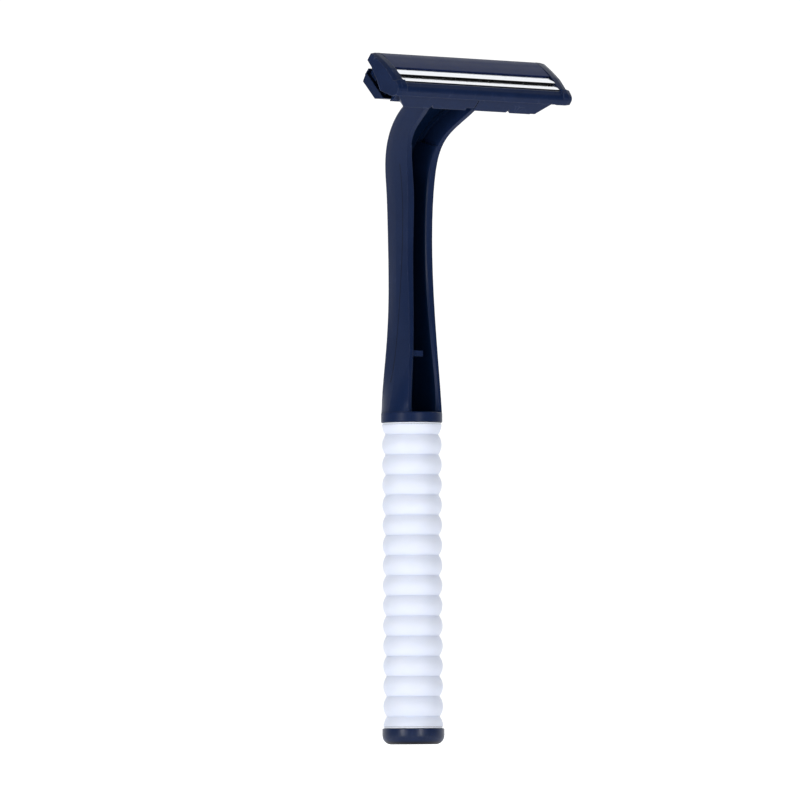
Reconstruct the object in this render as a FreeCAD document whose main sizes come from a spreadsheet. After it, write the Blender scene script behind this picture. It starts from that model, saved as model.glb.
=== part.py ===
"""Twin-blade cartridge razor: ribbed grip, hollow neck and a slide-on blade cartridge.

Frame: origin at the middle of the end cap's flat bottom, on the handle's axis; +Z up the handle,
-Y forwards to the side that the blades face, +X along the blades. Millimetres and degrees.

Two tilted frames are used. The head frame lies on the cartridge's shaving face: x along the
blades, y towards the cap, z out of the face. The stack frame lies on the seat blade: x along the
edge, y from the edge to the blade's back, z up through the stack of blades.
"""
import FreeCAD, Part
import math
import os
import re

import Sketcher

doc = FreeCAD.newDocument("CartridgeRazor")

# ------------------------------------------------------------------ driving dimensions
SIZES = [
    # end cap
    ("end_cap_height", 2.9, "end cap below the grip"),
    ("end_cap_radius", 5.6, "end cap, outside"),
    ("end_cap_corner", 1.6, "rounding of the end cap's lower edge"),
    ("plug_length", 8.0, "end cap's plug inside the core"),
    # grip
    ("rib_count", 15, "rib pitches along the sleeve, the first and last one halved"),
    ("rib_pitch", 3.64, "from rib to rib"),
    ("rib_peak_radius", 5.4, "sleeve at the top of a rib"),
    ("rib_valley_radius", 4.73, "sleeve between two ribs"),
    ("flange_radius", 5.3, "core's end flanges"),
    ("flange_thickness", 0.35, "core's end flanges, thickness"),
    ("core_radius", 3.6, "core tube, outside"),
    ("core_bore", 2.6, "core tube, bore radius"),
    ("press_gap", 0.02, "radial gap drawn in a press fit"),
    # collar and stem
    ("collar_radius", 5.55, "round collar at the foot of the neck"),
    ("collar_height", 1.85, "collar"),
    ("collar_edge", 0.2, "rounding of the collar's edges"),
    ("stem_length", 34.0, "stem from the collar down into the core"),
    # neck
    ("foot_radius", 5.5, "round foot of the neck on the collar"),
    ("foot_front", 3.85, "foot's flat front, from the axis"),
    ("side_crease", 0.12, "how far the side's crease stands out"),
    ("back_corner", 1.2, "size of the rounded back corners"),
    ("throat_front_width", 12.4, "neck where it meets the cross bar, front"),
    ("throat_back_width", 12.6, "neck where it meets the cross bar, back"),
    ("throat_low", 0.3, "neck's front where it meets the bar, above the middle of the face"),
    # hollow of the neck
    ("back_wall", 1.5, "wall behind the hollow"),
    ("throat_rim", 1.0, "rim beside the wide pocket under the head"),
    ("pocket_floor", 0.3, "pocket's floor, in front of the hollow's floor"),
    ("ledge_rise", 10.1, "small ledge in the hollow, above the collar"),
    ("ledge_height", 1.05, "ledge"),
    ("ledge_depth", 0.9, "ledge's front, behind the rims"),
    ("ledge_reach", 0.5, "ledge's end, past the middle of the hollow"),
    # head and cross bar
    ("face_forward", 18.16, "middle of the shaving face, in front of the axis"),
    ("face_rise", 60.51, "middle of the shaving face, above the collar"),
    ("head_tilt", 45.0, "shaving face from the horizontal"),
    ("bar_length", 38.0, "cross bar"),
    ("bar_thickness", 1.72, "cross bar behind the rails"),
    ("bar_top", 5.05, "top edge of the bar at its front, above the middle of the face"),
    ("bar_top_back", 4.6, "top edge of the bar at its back, above the middle"),
    ("bar_lip", 1.0, "lip along the bar's top edge, forward of the bar"),
    ("bar_lip_thickness", 0.2, "lip along the bar's top edge"),
    ("bar_low_front", 1.95, "bar's lower edge at its front, below the middle"),
    ("bar_low_back", 0.1, "bar's lower edge at its back, below the middle"),
    ("tongue_length", 36.2, "tongue that the cartridge slides on"),
    ("tongue_thickness", 0.6, "lips of the tongue"),
    ("tongue_web", 3.55, "web that carries the tongue"),
    ("tongue_top", 2.59, "web's upper side, above the middle of the face"),
    ("tongue_lip", 0.85, "how far each lip of the tongue reaches out"),
    ("slide_gap", 0.06, "running clearance of the tongue in the rails"),
    # cartridge platform
    ("cartridge_length", 40.7, "cartridge along the blades"),
    ("wall_thickness", 2.05, "end walls of the cartridge"),
    ("wall_shoulder", 0.05, "end walls' front, set back halfway through their thickness"),
    ("wall_drop", 0.3, "end walls' front, set back at their outer side"),
    ("cap_edge", 5.4, "top edge of the cartridge, from the middle"),
    ("guard_edge", 5.54, "lower edge of the cartridge, from the middle"),
    ("guard_lip", 3.85, "guard's upper lip, below the middle"),
    ("guard_lip_depth", 0.08, "guard's upper lip, behind the face"),
    ("guard_edge_depth", 1.78, "guard's lower edge, behind the face"),
    ("trough_depth", 1.1, "rinse trough behind the guard lip"),
    ("channel_depth", 4.25, "floor of the rail channel, behind the face"),
    ("rail_wall", 0.95, "rail walls beside the tongue"),
    ("rail_hook", 0.5, "rail hooks behind the tongue"),
    ("front_rail_face", 3.76, "front rail's outer face, below the middle"),
    ("front_rail_depth", 5.72, "front rail's lower edge, behind the face"),
    ("front_rail_top", 3.1, "front rail's upper edge, behind the face"),
    ("front_rail_length", 36.6, "front rail at its upper edge"),
    ("front_rail_slant", 2.9, "how much each end of the rail slants in"),
    ("rail_foot_length", 35.0, "foot inside the front rail"),
    ("rail_foot_depth", 5.95, "foot inside the front rail, behind the face"),
    ("notch_place", 8.95, "notches in the front rail, from the middle"),
    ("notch_width", 1.2, "notches in the front rail"),
    ("notch_height", 0.7, "notches in the front rail"),
    ("pad_length", 5.3, "raised pads beside the notches"),
    ("pad_height", 0.1, "raised pads beside the notches"),
    ("gate_width", 1.95, "square notch at the middle of the front rail"),
    ("gate_height", 0.55, "square notch at the middle of the front rail"),
    ("slit_width", 0.22, "slit beside the square notch"),
    ("slit_depth", 0.3, "slit beside the square notch"),
    # blades
    ("blade_tilt", 12.0, "blades from the shaving face"),
    ("seat_edge", 3.3, "seat blade's edge, below the middle"),
    ("seat_edge_depth", 0.09, "seat blade's edge, behind the face"),
    ("blade_width", 6.0, "each blade, edge to back"),
    ("blade_thickness", 0.1, "each blade"),
    ("blade_bevel", 0.7, "ground bevel of each edge"),
    ("blade_span", 1.68, "from the seat blade's edge to the cap blade's, along the blades"),
    ("spacer_thickness", 0.33, "spacer between the blades"),
    ("spacer_setback", 1.0, "spacer's front behind the cap blade's edge"),
    ("end_gap", 0.12, "gap between the blades or the cap and each end wall"),
    # cap and studs
    ("guard_chin_rise", 0.1, "guard's round top above the end walls' chin"),
    ("guard_chin_inset", 0.3, "guard's round top behind the end walls' chin"),
    ("guard_brow_rise", 0.08, "middle of the guard's round, above the end walls' brow"),
    ("guard_brow_inset", 0.12, "middle of the guard's round, behind the end walls' brow"),
    ("guard_lip_width", 0.45, "guard lip, from its edge to the trough"),
    ("guard_lip_lean", 0.1, "slant at the back of the guard lip"),
    ("core_inset", 0.4, "platform's core below the cartridge's top edge"),
    ("rear_rail_inset", 0.3, "rear rail below the bar's top"),
    ("join_depth", 0.3, "how far joined blocks run into each other"),
    ("rail_foot_rise", 0.9, "slope of the rail's foot towards the band"),
    ("cap_lip", 0.45, "cap's front lip, above the middle of the face"),
    ("cap_crown", 0.14, "cap's front lip, behind the face"),
    ("cap_fold", 3.3, "faint crease along the cap, above the middle of the face"),
    ("fold_depth", 0.5, "faint crease along the cap, behind the face"),
    ("skirt_thickness", 0.9, "cap's rear skirt"),
    ("cap_front_bulge", 0.04, "crown of the cap in front of its crease"),
    ("cap_rear_bulge", 0.06, "crown of the cap behind its crease"),
    ("cap_corner", 0.15, "cap's rounded rear corner, along the face"),
    ("cap_corner_drop", 0.3, "cap's rounded rear corner, behind the face"),
    ("cap_flange", 0.35, "cap's flange behind the platform's core"),
    ("stud_radius", 0.6, "studs through the blades"),
    ("stud_gap", 0.06, "gap round each stud"),
    ("stud_place", 5.1, "studs, behind the seat blade's edge"),
    ("stud_depth", 1.8, "studs below the seat blade"),
    ("stud_spacing", 10.0, "from stud to stud"),
    ("stud_root", 0.3, "studs' roots inside the cap"),
    ("socket_spare", 0.1, "sockets deeper than the studs"),
    ("foot_mouth", 3.25, "hollow's half width at the collar, at the front"),
    ("foot_slot", 2.8, "hollow's half width at the collar, at the bottom of the scoop"),
    ("foot_scoop", 0.4, "depth of the scoop at the collar"),
    ("throat_step", 0.2, "hollow's sides inside the pocket's, at the bar"),
    ("throat_scoop", 0.3, "depth of the scoop at the bar"),
    ("ledge_thickness", 3.0, "ledge in the hollow, from front to back"),
]

# Shape of the neck from the collar up. Each station is a plane across the neck, with its centre
# forward of the axis and above the collar, its tilt, its depth from front to back, its widths at
# the front and at the back, the rim beside the hollow, the hollow's half width at the bottom of
# the scooped sides, and how deep the scoop goes.
STATION_SIZES = ("forward", "rise", "tilt", "depth", "front", "back", "rim", "slot", "scoop")
STATIONS = {
    "shin": (-0.42, 7.0, 0, 8.05, 7.1, 6.9, 0.6, 2.5, 0.25),
    "calf": (-0.35, 16.0, 0, 7.1, 6.16, 5.9, 0.95, 1.8, 0.3),
    "waist": (-0.69, 28.0, 0, 6.6, 5.84, 5.3, 1.3, 1.45, 0.3),
    "chest": (-0.64, 41.0, 0, 7.3, 6.2, 5.6, 1.35, 1.6, 0.3),
    "bend": (0.9, 49.0, 14, 6.6, 8.2, 7.9, 1.15, 2.85, 0.3),
    "nape": (3.65, 52.25, 33, 5.6, 9.5, 9.7, 1.15, 3.5, 0.3),
    "crest": (7.73, 54.85, 47, 4.9, 10.9, 11.2, 1.15, 4.1, 0.3),
}
for station, numbers in STATIONS.items():
    for size, number in zip(STATION_SIZES, numbers):
        SIZES.append((f"{station}_{size}", number, f"neck at the {station}, {size}"))

# Outline of the end walls, in the head frame: from the guard's ridge up the front to the top,
# then down the back. Each point is up from the middle of the face and out from the face.
WALL_POINTS = {
    "ridge": (-5.54, -1.78),
    "brow": (-5.47, -0.85),
    "brow_middle": (-5.12, -0.27),
    "chin": (-4.45, 0.12),
    "lip": (-3.45, 0.3),
    "step": (-3.0, -0.2),
    "front_middle": (-1.5, -0.05),
    "front": (0.0, 0.0),
    "slope_middle": (2.7, -0.36),
    "top": (5.3, -1.0),
    "heel": (5.05, -2.65),
    "heel_end": (3.35, -2.75),
    "back": (0.1, -3.55),
    "back_end": (-1.45, -4.2),
    "low": (-4.5, -2.72),
}
for point, (up, out) in WALL_POINTS.items():
    SIZES.append((f"wall_{point}_up", up, f"end wall's {point}, up from the middle of the face"))
    SIZES.append((f"wall_{point}_out", out, f"end wall's {point}, out from the face"))

sheet = doc.addObject("Spreadsheet::Sheet", "Sizes")
for row, (alias, number, meaning) in enumerate(SIZES, start=1):
    sheet.set(f"A{row}", alias)
    sheet.set(f"B{row}", str(number))
    sheet.setAlias(f"B{row}", alias)
    sheet.set(f"C{row}", meaning)
doc.recompute()
ALIASES = {alias for alias, number, meaning in SIZES}


# ------------------------------------------------------------------ drawing helpers
def bound(expression):
    """The expression with each size name pointing at the sheet."""
    return re.sub(r"[a-z][a-z_]+", lambda word: "Sizes." * (word.group() in ALIASES) + word.group(),
                  str(expression))


def value(expression):
    """What an expression is worth now."""
    return float(sheet.evalExpression(bound(expression)))


def bind(thing, **expressions):
    """Tie properties of a feature to size expressions."""
    for name, expression in expressions.items():
        thing.setExpression(name, bound(expression))


def new_body(name):
    body = doc.addObject("PartDesign::Body", name)
    body.Label = name
    return body


def origin_feature(body, role):
    return next(part for part in body.Origin.OriginFeatures if part.Role == role)


def new_sketch(body, name, role, offset=(0, 0, 0), turn=0):
    """A sketch on one of the body's own planes, moved and turned about that plane's x axis."""
    sketch = body.newObject("Sketcher::SketchObject", name)
    sketch.AttachmentSupport = [(origin_feature(body, role), "")]
    sketch.MapMode = "FlatFace"
    turned = FreeCAD.Rotation(FreeCAD.Vector(1, 0, 0), value(turn))
    sketch.AttachmentOffset = FreeCAD.Placement(FreeCAD.Vector(*map(value, offset)), turned)
    for letter, expression in zip("xyz", offset):
        bind(sketch, **{f"AttachmentOffset.Base.{letter}": expression})
    if turn != 0:
        bind(sketch, **{"AttachmentOffset.Rotation.Angle": turn})
    return sketch


def pin_point(sketch, item, end, place):
    """Hold one point of a sketch at a place given by two size expressions."""
    for kind, expression in zip(("DistanceX", "DistanceY"), place):
        index = sketch.addConstraint(Sketcher.Constraint(kind, item, end, value(expression)))
        sketch.setExpression(f"Constraints[{index}]", bound(expression))


def outline(sketch, corners):
    """Draw a closed outline through the corners.

    A corner is (x, y) at the end of a straight side, or (x, y, mid_x, mid_y) at the end of an arc
    that passes through the mid point.
    """
    ends = []
    for number, corner in enumerate(corners):
        start = FreeCAD.Vector(*map(value, corners[number - 1][:2]), 0)
        finish = FreeCAD.Vector(*map(value, corner[:2]), 0)
        if len(corner) == 2:
            item = sketch.addGeometry(Part.LineSegment(start, finish))
            ends.append((item, 1, 2))
            continue
        middle = FreeCAD.Vector(*map(value, corner[2:]), 0)
        centre = Part.Arc(start, middle, finish).toShape().Curve.Center
        ring = Part.Circle(centre, FreeCAD.Vector(0, 0, 1), start.distanceToPoint(centre))
        anticlockwise = (middle - start).cross(finish - middle).z > 0
        first, last = (start, finish) if anticlockwise else (finish, start)
        angles = [math.atan2(point.y - centre.y, point.x - centre.x) for point in (first, last)]
        item = sketch.addGeometry(Part.ArcOfCircle(ring, *angles))
        ends.append((item, 1, 2) if anticlockwise else (item, 2, 1))
        helper = sketch.addGeometry(Part.Point(middle), True)
        pin_point(sketch, helper, 1, corner[2:])
        sketch.addConstraint(Sketcher.Constraint("PointOnObject", helper, 1, item))
    for number, corner in enumerate(corners):
        item, begin, end = ends[number]
        before, before_begin, before_end = ends[number - 1]
        sketch.addConstraint(Sketcher.Constraint("Coincident", before, before_end, item, begin))
        pin_point(sketch, item, end, corner[:2])


def circles(sketch, places, radius):
    """Draw equal circles at the places."""
    for place in places:
        centre = FreeCAD.Vector(*map(value, place), 0)
        item = sketch.addGeometry(Part.Circle(centre, FreeCAD.Vector(0, 0, 1), value(radius)))
        pin_point(sketch, item, 3, place)
        index = sketch.addConstraint(Sketcher.Constraint("Radius", item, value(radius)))
        sketch.setExpression(f"Constraints[{index}]", bound(radius))


def rectangle(left, right, low, high):
    return [(left, low), (right, low), (right, high), (left, high)]


def mirrored(half):
    """A closed outline from its right half, which runs from front to back."""
    left = []
    for number in range(len(half) - 1, -1, -1):
        x, y = half[number][:2]
        after = half[number + 1] if number + 1 < len(half) else None
        if after and len(after) == 4:
            left.append((f"-({x})", y, f"-({after[2]})", after[3]))
        else:
            left.append((f"-({x})", y))
    return half, left


def pad(body, name, sketch, length, symmetric=True, reverse=False, cut=False):
    """Extrude a sketch, or cut with it, both ways or one way from its plane."""
    feature = body.newObject("PartDesign::Pocket" if cut else "PartDesign::Pad", name)
    feature.Profile = sketch
    feature.SideType = "Symmetric" if symmetric else "One side"
    feature.Reversed = reverse
    bind(feature, Length=length)
    return feature


def turn(body, name, sketch):
    """Revolve a sketch round the handle's axis."""
    feature = body.newObject("PartDesign::Revolution", name)
    feature.Profile = sketch
    feature.ReferenceAxis = (origin_feature(body, "Z_Axis"), [""])
    feature.Angle = 360
    return feature


def loft(body, name, sections, ruled=False, cut=False):
    """Join a row of sketches into one solid, or cut with it."""
    feature = body.newObject("PartDesign::SubtractiveLoft" if cut else "PartDesign::AdditiveLoft", name)
    feature.Profile = sections[0]
    feature.Sections = sections[1:]
    feature.Ruled = ruled
    return feature


def place_on_head(body):
    """Move a body from the head frame to its place on the razor."""
    spot = f"create(<<vector>>; 0; -face_forward; {face_height})"
    body.setExpression("Placement", bound(
        f"create(<<placement>>; {spot}; create(<<rotation>>; create(<<vector>>; 1; 0; 0); head_tilt))"))


def place_on_stack(body):
    """Move a body from the stack frame to its place on the razor."""
    edge_y = "(seat_edge * cos(head_tilt) - seat_edge_depth * sin(head_tilt))"
    edge_z = "(seat_edge * sin(head_tilt) + seat_edge_depth * cos(head_tilt))"
    spot = f"create(<<vector>>; 0; -face_forward - {edge_y}; {face_height} - {edge_z})"
    body.setExpression("Placement", bound(
        f"create(<<placement>>; {spot};"
        " create(<<rotation>>; create(<<vector>>; 1; 0; 0); head_tilt - blade_tilt))"))


# ------------------------------------------------------------------ heights up the handle
grip_length = "(rib_count * rib_pitch)"
core_top = f"(end_cap_height + 2 * flange_thickness + {grip_length})"
collar_top = f"({core_top} + collar_height)"
face_height = f"({collar_top} + face_rise)"

# ------------------------------------------------------------------ end cap
# Turned cap with a flat bottom, a rounded lower edge and a plug that presses into the core.
end_cap = new_body("end_cap")
profile = new_sketch(end_cap, "end_cap_profile", "XZ_Plane")
round_off = "(end_cap_corner * (1 - cos(45)))"
plug_radius = "(core_bore - press_gap)"
outline(profile, [
    ("0", "0"),
    ("end_cap_radius - end_cap_corner", "0"),
    ("end_cap_radius", "end_cap_corner", f"end_cap_radius - {round_off}", round_off),
    ("end_cap_radius", "end_cap_height"),
    (plug_radius, "end_cap_height"),
    (plug_radius, "end_cap_height + plug_length"),
    ("0", "end_cap_height + plug_length"),
])
turn(end_cap, "end_cap_solid", profile)

# ------------------------------------------------------------------ grip core
# Tube with a thin flange at each end, like a long spool.
grip_core = new_body("grip_core")
profile = new_sketch(grip_core, "core_profile", "XZ_Plane")
outline(profile, [
    ("core_bore", "end_cap_height"),
    ("flange_radius", "end_cap_height"),
    ("flange_radius", "end_cap_height + flange_thickness"),
    ("core_radius", "end_cap_height + flange_thickness"),
    ("core_radius", f"{core_top} - flange_thickness"),
    ("flange_radius", f"{core_top} - flange_thickness"),
    ("flange_radius", core_top),
    ("core_bore", core_top),
])
turn(grip_core, "core_solid", profile)

# ------------------------------------------------------------------ grip sleeve
# Soft sleeve between the flanges. Its ribs are arcs that meet in narrow valleys, and it starts
# and ends on the crown of a rib.
grip_sleeve = new_body("grip_sleeve")
profile = new_sketch(grip_sleeve, "sleeve_profile", "XZ_Plane")
sleeve_foot = "(end_cap_height + flange_thickness)"
rise = "(rib_peak_radius - rib_valley_radius)"
# radius of the rib's arc, from its rise over half a pitch
arc = f"(({rise} * {rise} + rib_pitch * rib_pitch / 4) / (2 * {rise}))"
quarter = f"(rib_peak_radius - {arc} + sqrt({arc} * {arc} - rib_pitch * rib_pitch / 16))"
corners = [("core_radius", sleeve_foot), ("rib_peak_radius", sleeve_foot)]
corners.append(("rib_valley_radius", f"{sleeve_foot} + 0.5 * rib_pitch",
                quarter, f"{sleeve_foot} + 0.25 * rib_pitch"))
for rib in range(1, round(value("rib_count"))):
    corners.append(("rib_valley_radius", f"{sleeve_foot} + {rib + 0.5} * rib_pitch",
                    "rib_peak_radius", f"{sleeve_foot} + {rib} * rib_pitch"))
corners.append(("rib_peak_radius", f"{sleeve_foot} + {grip_length}",
                quarter, f"{sleeve_foot} + {grip_length} - 0.25 * rib_pitch"))
corners.append(("core_radius", f"{sleeve_foot} + {grip_length}"))
outline(profile, corners)
turn(grip_sleeve, "sleeve_solid", profile)

# ------------------------------------------------------------------ handle neck
# One moulding: stem, collar, hollow neck that bends forwards, and the cross bar of the head.
neck = new_body("handle_neck")
stem = new_sketch(neck, "stem_section", "XY_Plane", ("0", "0", f"{core_top} - stem_length"))
circles(stem, [("0", "0")], plug_radius)
pad(neck, "stem", stem, "stem_length + 0.5 * collar_height", symmetric=False)
profile = new_sketch(neck, "collar_profile", "XZ_Plane")
nick = "(collar_edge * (1 - cos(45)))"
outline(profile, [
    ("0", core_top),
    ("collar_radius - collar_edge", core_top),
    ("collar_radius", f"{core_top} + collar_edge", f"collar_radius - {nick}", f"{core_top} + {nick}"),
    ("collar_radius", f"{collar_top} - collar_edge"),
    ("collar_radius - collar_edge", collar_top, f"collar_radius - {nick}", f"{collar_top} - {nick}"),
    ("0", collar_top),
])
turn(neck, "collar", profile)


# How far round each side of the foot its corners are, to match those of the stations above.
FOOT_TURNS = ("42 deg", "64 deg")


def foot_section():
    """Round foot with a flat front: right half, from front to back, in steps round the circle."""
    front_angle = "-asin(foot_front / foot_radius)"
    half = [(f"foot_radius * cos({front_angle})", "-foot_front")]
    turns = [front_angle, "0 deg", *FOOT_TURNS]
    for before, after in zip(turns, turns[1:]):
        half.append((f"foot_radius * cos({after})", f"foot_radius * sin({after})",
                     f"foot_radius * cos((({before}) + ({after})) / 2)",
                     f"foot_radius * sin((({before}) + ({after})) / 2)"))
    return half, "foot_radius"


def station_section(front, back, depth):
    """Section of the neck: flat front, creased sides and rounded back; right half and back."""
    side = f"(({front} + {back}) / 4 + side_crease)"
    half = [
        (f"{front} / 2", f"-{depth} / 2"),
        (side, "0", f"({front} / 2 + {side}) / 2 + side_crease / 3", f"-{depth} / 4"),
        (f"{back} / 2", f"{depth} / 2 - back_corner",
         f"({back} / 2 + {side}) / 2 + side_crease / 3", f"{depth} / 4 - back_corner / 2"),
        (f"{back} / 2 - back_corner", f"{depth} / 2 - back_corner / 8",
         f"{back} / 2 - back_corner / 4", f"{depth} / 2 - back_corner / 3"),
    ]
    return half, f"{depth} / 2"


def draw_section(sketch, half, back):
    """Close a section's right half with its mirror image and an arc across the back."""
    right, left = mirrored(half)
    x, y = left[0]
    outline(sketch, right + [(x, y, "0", back)] + left[1:])


def neck_plane(name, station):
    """A sketch plane across the neck."""
    place = ("0", f"-{station}_forward", f"{collar_top} + {station}_rise")
    return new_sketch(neck, f"{station}_{name}", "XY_Plane", place, turn=f"{station}_tilt")


# The neck ends on the cross bar's back, which lies parallel to the shaving face.
bar_back = "(channel_depth + 2 * slide_gap + tongue_thickness + rail_hook + slide_gap + bar_thickness)"
throat_middle = "((bar_top_back + throat_low) / 2)"
throat_depth = "(bar_top_back - throat_low)"


def head_plane(name, depth, middle="0"):
    """A sketch plane parallel to the shaving face, behind it by a depth, moved up along it."""
    y = f"-face_forward + {depth} * sin(head_tilt) + {middle} * cos(head_tilt)"
    z = f"{face_height} - {depth} * cos(head_tilt) + {middle} * sin(head_tilt)"
    return new_sketch(neck, name, "XY_Plane", ("0", y, z), turn="head_tilt")


sections = [new_sketch(neck, "foot_outer", "XY_Plane", ("0", "0", collar_top))]
draw_section(sections[0], *foot_section())
for station in STATIONS:
    sections.append(neck_plane("outer", station))
    draw_section(sections[-1], *station_section(f"{station}_front", f"{station}_back", f"{station}_depth"))
sections.append(head_plane("throat_outer", bar_back, throat_middle))
draw_section(sections[-1], *station_section("throat_front_width", "throat_back_width", throat_depth))
loft(neck, "neck_outside", sections)

# The hollow is open to the front. Its sides are scooped where they meet the rims.
FRONT_OVERCUT = 1.5


def hollow_outline(sketch, depth, mouth, slot, scoop):
    """Section of the hollow: mouth between the rims, scooped sides and a narrower floor."""
    floor = f"({depth} / 2 - back_wall)"
    right, left = mirrored([
        (mouth, f"-{depth} / 2 - {FRONT_OVERCUT}"),
        (mouth, f"-{depth} / 2"),
        (slot, f"-{depth} / 2 + {scoop}"),
        (f"0.8 * {slot}", floor),
    ])
    outline(sketch, right + left)


sections = [new_sketch(neck, "foot_hollow", "XY_Plane", ("0", "0", collar_top))]
hollow_outline(sections[0], "(2 * foot_front)", "foot_mouth", "foot_slot", "foot_scoop")
for station in STATIONS:
    sections.append(neck_plane("hollow", station))
    hollow_outline(sections[-1], f"{station}_depth", f"({station}_front / 2 - {station}_rim)",
                   f"{station}_slot", f"{station}_scoop")
sections.append(head_plane("throat_hollow", bar_back, throat_middle))
hollow_outline(sections[-1], throat_depth, "(throat_front_width / 2 - throat_rim - throat_step)",
               "(throat_front_width / 2 - throat_rim - 2 * throat_step)", "throat_scoop")
loft(neck, "hollow", sections, cut=True)

# A wider pocket, with a sharp lower end, runs from the bend up to the cross bar.
sections = []
for station in list(STATIONS)[4:]:
    sections.append(neck_plane("pocket", station))
    half_width = f"({station}_front / 2 - throat_rim)"
    outline(sections[-1], rectangle(f"-{half_width}", half_width, f"-{station}_depth / 2 - {FRONT_OVERCUT}",
                                    f"{station}_depth / 2 - back_wall - pocket_floor"))
sections.append(head_plane("throat_pocket", bar_back, throat_middle))
half_width = "(throat_front_width / 2 - throat_rim)"
outline(sections[-1], rectangle(f"-{half_width}", half_width, f"-{throat_depth} / 2 - {FRONT_OVERCUT}",
                                f"{throat_depth} / 2 - back_wall - pocket_floor"))
loft(neck, "pocket", sections, cut=True)

# Small ledge across part of the hollow, just above the collar.
ledge = new_sketch(neck, "ledge_section", "XY_Plane", ("0", "0", f"{collar_top} + ledge_rise"))
ledge_front = "(shin_forward + shin_depth / 2 - ledge_depth)"
outline(ledge, rectangle("-shin_front / 2 + shin_rim", "ledge_reach",
                         f"-{ledge_front}", f"-{ledge_front} + ledge_thickness"))
pad(neck, "ledge", ledge, "ledge_height", symmetric=False)

# Cross bar: its top and its underside slant in towards the back.
bar_front = f"({bar_back} - bar_thickness)"
front = head_plane("bar_front_section", bar_front)
outline(front, rectangle("-bar_length / 2", "bar_length / 2", "-bar_low_front", "bar_top"))
back = head_plane("bar_back_section", bar_back)
outline(back, rectangle("-bar_length / 2", "bar_length / 2", "-bar_low_back", "bar_top_back"))
loft(neck, "cross_bar", [front, back], ruled=True)
lip = head_plane("bar_lip_section", f"({bar_front} - bar_lip)")
outline(lip, rectangle("-bar_length / 2", "bar_length / 2", "bar_top - bar_lip_thickness", "bar_top"))
pad(neck, "bar_lip", lip, "bar_lip + bar_thickness / 4", symmetric=False, reverse=True)

# Tongue on the front of the bar: a web with two lips that the cartridge's rails hold.
web_low = "(tongue_top - tongue_web)"
tongue_front = "(channel_depth + slide_gap)"
tongue = head_plane("tongue_section", tongue_front)
outline(tongue, rectangle("-tongue_length / 2", "tongue_length / 2",
                          f"{web_low} - tongue_lip", "tongue_top + tongue_lip"))
pad(neck, "tongue", tongue, "tongue_thickness", symmetric=False, reverse=True)
web = head_plane("web_section", f"({tongue_front} + tongue_thickness / 2)")
outline(web, rectangle("-tongue_length / 2", "tongue_length / 2", web_low, "tongue_top"))
pad(neck, "web", web, f"{bar_front} - {tongue_front}", symmetric=False, reverse=True)

# ------------------------------------------------------------------ cartridge platform
# Seat for the blades with the guard bar in front, an end wall at each side and, behind, the two
# rails that slide on the tongue. Drawn in the head frame.
platform = new_body("cartridge_platform")


def stack_line(y, height):
    """z in the head frame of a line parallel to the blades, at a height in the stack frame."""
    return f"(({height} - ({y} + seat_edge) * sin(blade_tilt)) / cos(blade_tilt) - seat_edge_depth)"


window_half = "(cartridge_length / 2 - wall_thickness)"
seat_front = "(-seat_edge + spacer_setback)"
core = new_sketch(platform, "core_profile", "YZ_Plane")
rail_rear = "(bar_top - rear_rail_inset)"
core_top_edge = "(cap_edge - core_inset)"
outline(core, [
    ("-guard_lip", "-guard_lip_depth"),
    ("wall_chin_up + guard_chin_rise", "wall_chin_out - guard_chin_inset"),
    ("wall_brow_up", "wall_brow_out",
     "wall_brow_middle_up + guard_brow_rise", "wall_brow_middle_out - guard_brow_inset"),
    ("-guard_edge", "-guard_edge_depth"),
    ("-front_rail_face", "-front_rail_top"),
    ("-front_rail_face + rail_wall", "-front_rail_top"),
    ("-front_rail_face + rail_wall", "-channel_depth"),
    (rail_rear, "-channel_depth"),
    (core_top_edge, "wall_heel_out"),
    (core_top_edge, stack_line(core_top_edge, "(-blade_thickness / 2)")),
    (seat_front, stack_line(seat_front, "(-blade_thickness / 2)")),
    (seat_front, "-trough_depth"),
    ("-guard_lip + guard_lip_width", "-trough_depth"),
    ("-guard_lip + guard_lip_width - guard_lip_lean", "-guard_lip_depth - guard_lip_lean"),
])
pad(platform, "core", core, f"2 * {window_half}")


def wall_corner(point, drop):
    """A corner of the end walls' outline, its front set back by a drop."""
    return f"wall_{point}_up", f"wall_{point}_out - {drop}"


# End walls, crowned: the front falls away towards the outer side, past a shoulder part way out.
# The brow's middle takes a share of each drop, up and out.
SHOULDER_SHARE, BROW_UP_SHARE, BROW_OUT_SHARE = 0.55, 0.34, 0.55
for side in (-1, 1):
    name = "right" if side > 0 else "left"
    sections = []
    for across, drop in ((window_half, "0"),
                         (f"({window_half} + {SHOULDER_SHARE} * wall_thickness)", "wall_shoulder"),
                         ("(cartridge_length / 2)", "wall_drop")):
        sections.append(new_sketch(platform, f"{name}_wall", "YZ_Plane", ("0", "0", f"{side} * {across}")))
        outline(sections[-1], [
            (f"wall_ridge_up + {drop} / 2", "wall_ridge_out"),
            (f"wall_brow_up + {drop} / 2", "wall_brow_out"),
            wall_corner("chin", drop) + (f"wall_brow_middle_up + {BROW_UP_SHARE} * {drop}",
                                         f"wall_brow_middle_out - {BROW_OUT_SHARE} * {drop}"),
            wall_corner("lip", drop),
            wall_corner("step", drop),
            wall_corner("front", drop) + wall_corner("front_middle", drop),
            (f"wall_top_up - {drop} / 2", f"wall_top_out - {drop} / 2") + wall_corner("slope_middle", drop),
            wall_corner("heel", "0"),
            wall_corner("heel_end", "0"),
            wall_corner("back", "0"),
            wall_corner("back_end", "0"),
            wall_corner("low", "0"),
        ])
    loft(platform, f"{name}_end_wall", sections, ruled=True)

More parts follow.
